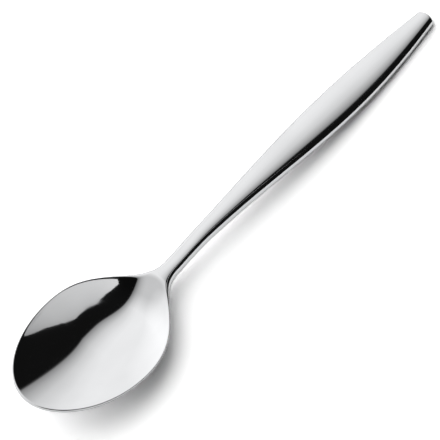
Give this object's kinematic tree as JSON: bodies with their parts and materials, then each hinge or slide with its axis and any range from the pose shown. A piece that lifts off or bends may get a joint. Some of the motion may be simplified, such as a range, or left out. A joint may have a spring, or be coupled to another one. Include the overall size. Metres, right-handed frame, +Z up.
{
  "type": "coffee spoon",
  "caption": "One-piece polished steel coffee spoon with an egg-shaped bowl, a slim raised neck and a domed handle that swells and tapers to a blunt rounded end.",
  "frame": {"origin": "on the table under the middle of the spoon's length and width", "axes": "+X along the spoon from the bowl to the handle's end, +Y across it, +Z up, with the bowl open upwards"},
  "size_m": [0.135, 0.0282, 0.0101],
  "materials": {
    "polished_steel": "mirror-polished stainless steel"
  },
  "bodies": {
    "root": {"coffee_spoon": "polished_steel"}
  },
  "joints": []
}
